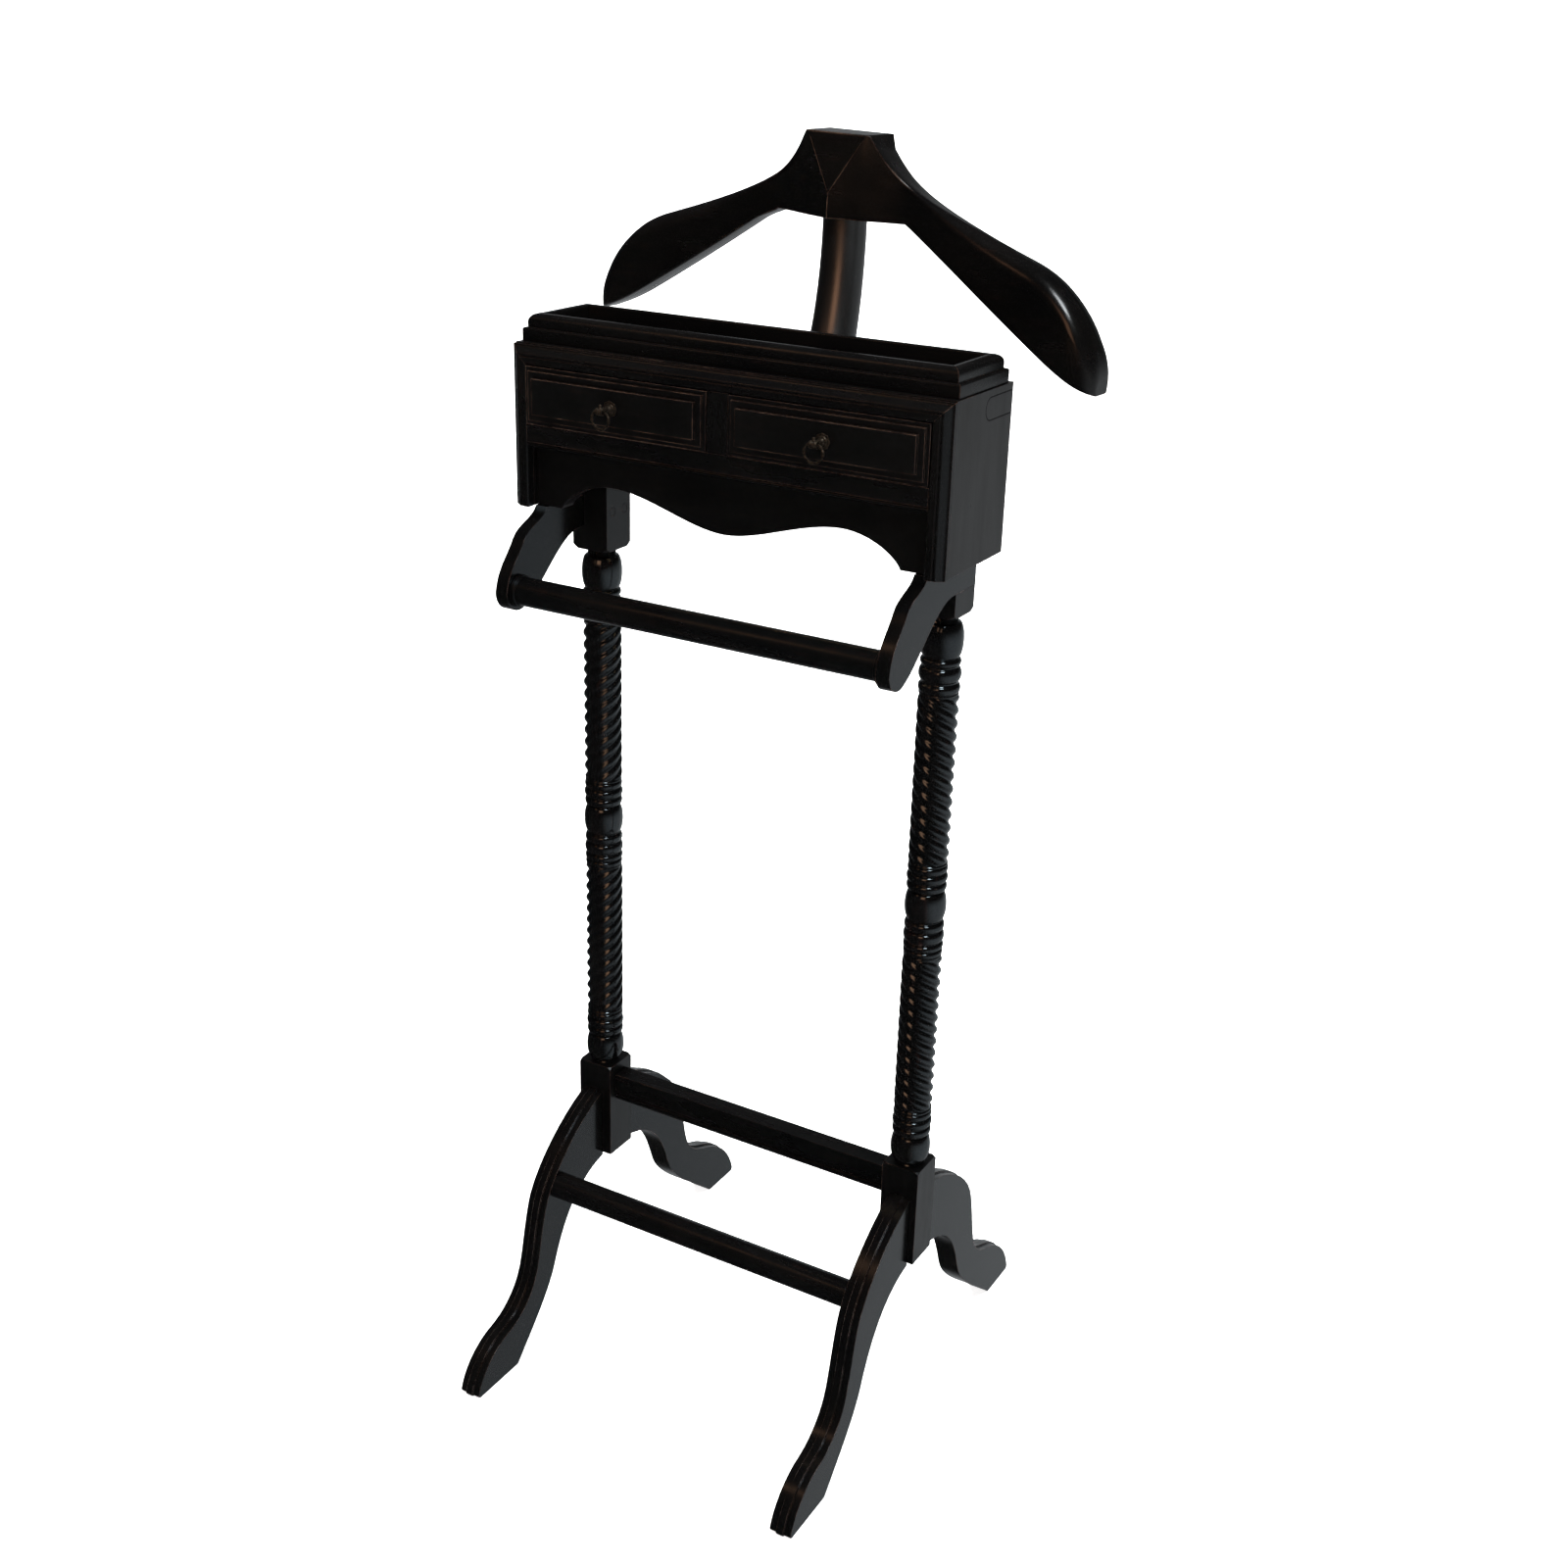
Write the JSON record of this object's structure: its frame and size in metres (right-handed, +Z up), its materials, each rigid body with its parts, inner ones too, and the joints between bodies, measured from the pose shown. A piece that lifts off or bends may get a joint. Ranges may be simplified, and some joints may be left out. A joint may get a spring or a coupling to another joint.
{
  "type": "valet stand",
  "caption": "Free-standing valet stand: carved coat hanger on a bent neck, tray over shallow drawers, trouser bar, and rope-turned posts on sawn legs with a shoe bar.",
  "frame": {"origin": "on the floor, under the middle of the stand's outline", "axes": "+Z up, the drawers open towards -Y, +X along the hanger to the right of someone facing the drawers"},
  "size_m": [0.4915, 0.455, 1.1212],
  "materials": {
    "black_paint": "satin black paint over wood, rubbed through to reddish brown along the edges",
    "bare_wood": "unpainted, planed",
    "antique_brass": "dark antique, burnished on the high points",
    "steel_screws": "plain"
  },
  "bodies": {
    "stand": {"hanger_left": "black_paint", "hanger_right": "black_paint", "hanger_dowels": "bare_wood", "neck_post": "black_paint", "neck_cleat": "bare_wood", "neck_bolts": "steel_screws", "case_side_left": "black_paint", "case_side_right": "black_paint", "case_back": "black_paint", "dust_panel": "bare_wood", "case_top": "black_paint", "rim_front": "black_paint", "rim_back": "black_paint", "rim_left": "black_paint", "rim_right": "black_paint", "stile_left": "black_paint", "stile_right": "black_paint", "top_rail": "black_paint", "drawer_rail": "black_paint", "drawer_divider": "black_paint", "apron": "black_paint", "drawer_partition": "bare_wood", "drawer_stops": "bare_wood", "case_screws": "steel_screws", "bracket_left": "black_paint", "bracket_right": "black_paint", "trouser_bar": "black_paint", "bracket_screws": "steel_screws", "post_left": "black_paint", "post_right": "black_paint", "stretcher": "black_paint", "shoe_bar": "black_paint", "leg_front_left": "black_paint", "leg_front_right": "black_paint", "leg_rear_left": "black_paint", "leg_rear_right": "black_paint", "leg_dowels": "bare_wood"},
    "drawer_left": {"drawer_left_front": "black_paint", "drawer_left_side_outer": "bare_wood", "drawer_left_side_inner": "bare_wood", "drawer_left_back": "bare_wood", "drawer_left_bottom": "bare_wood", "pull_left_plate": "antique_brass", "pull_left_post": "antique_brass", "pull_left_nut": "antique_brass"},
    "pull_left": {"pull_left_ring": "antique_brass"},
    "drawer_right": {"drawer_right_front": "black_paint", "drawer_right_side_outer": "bare_wood", "drawer_right_side_inner": "bare_wood", "drawer_right_back": "bare_wood", "drawer_right_bottom": "bare_wood", "pull_right_plate": "antique_brass", "pull_right_post": "antique_brass", "pull_right_nut": "antique_brass"},
    "pull_right": {"pull_right_ring": "antique_brass"}
  },
  "joints": [
    {"name": "drawer_left_slide", "type": "slide", "parent": "stand", "child": "drawer_left", "axis": [0, -1, 0], "range_m": [0, 0.065]},
    {"name": "pull_left_swing", "type": "hinge", "parent": "drawer_left", "child": "pull_left", "pos_m": [-0.09695, -0.1045, 0.913], "axis": [-1, 0, 0], "range_deg": [-20, 120]},
    {"name": "drawer_right_slide", "type": "slide", "parent": "stand", "child": "drawer_right", "axis": [0, -1, 0], "range_m": [0, 0.065]},
    {"name": "pull_right_swing", "type": "hinge", "parent": "drawer_right", "child": "pull_right", "pos_m": [0.09695, -0.1045, 0.913], "axis": [-1, 0, 0], "range_deg": [-20, 120]}
  ]
}
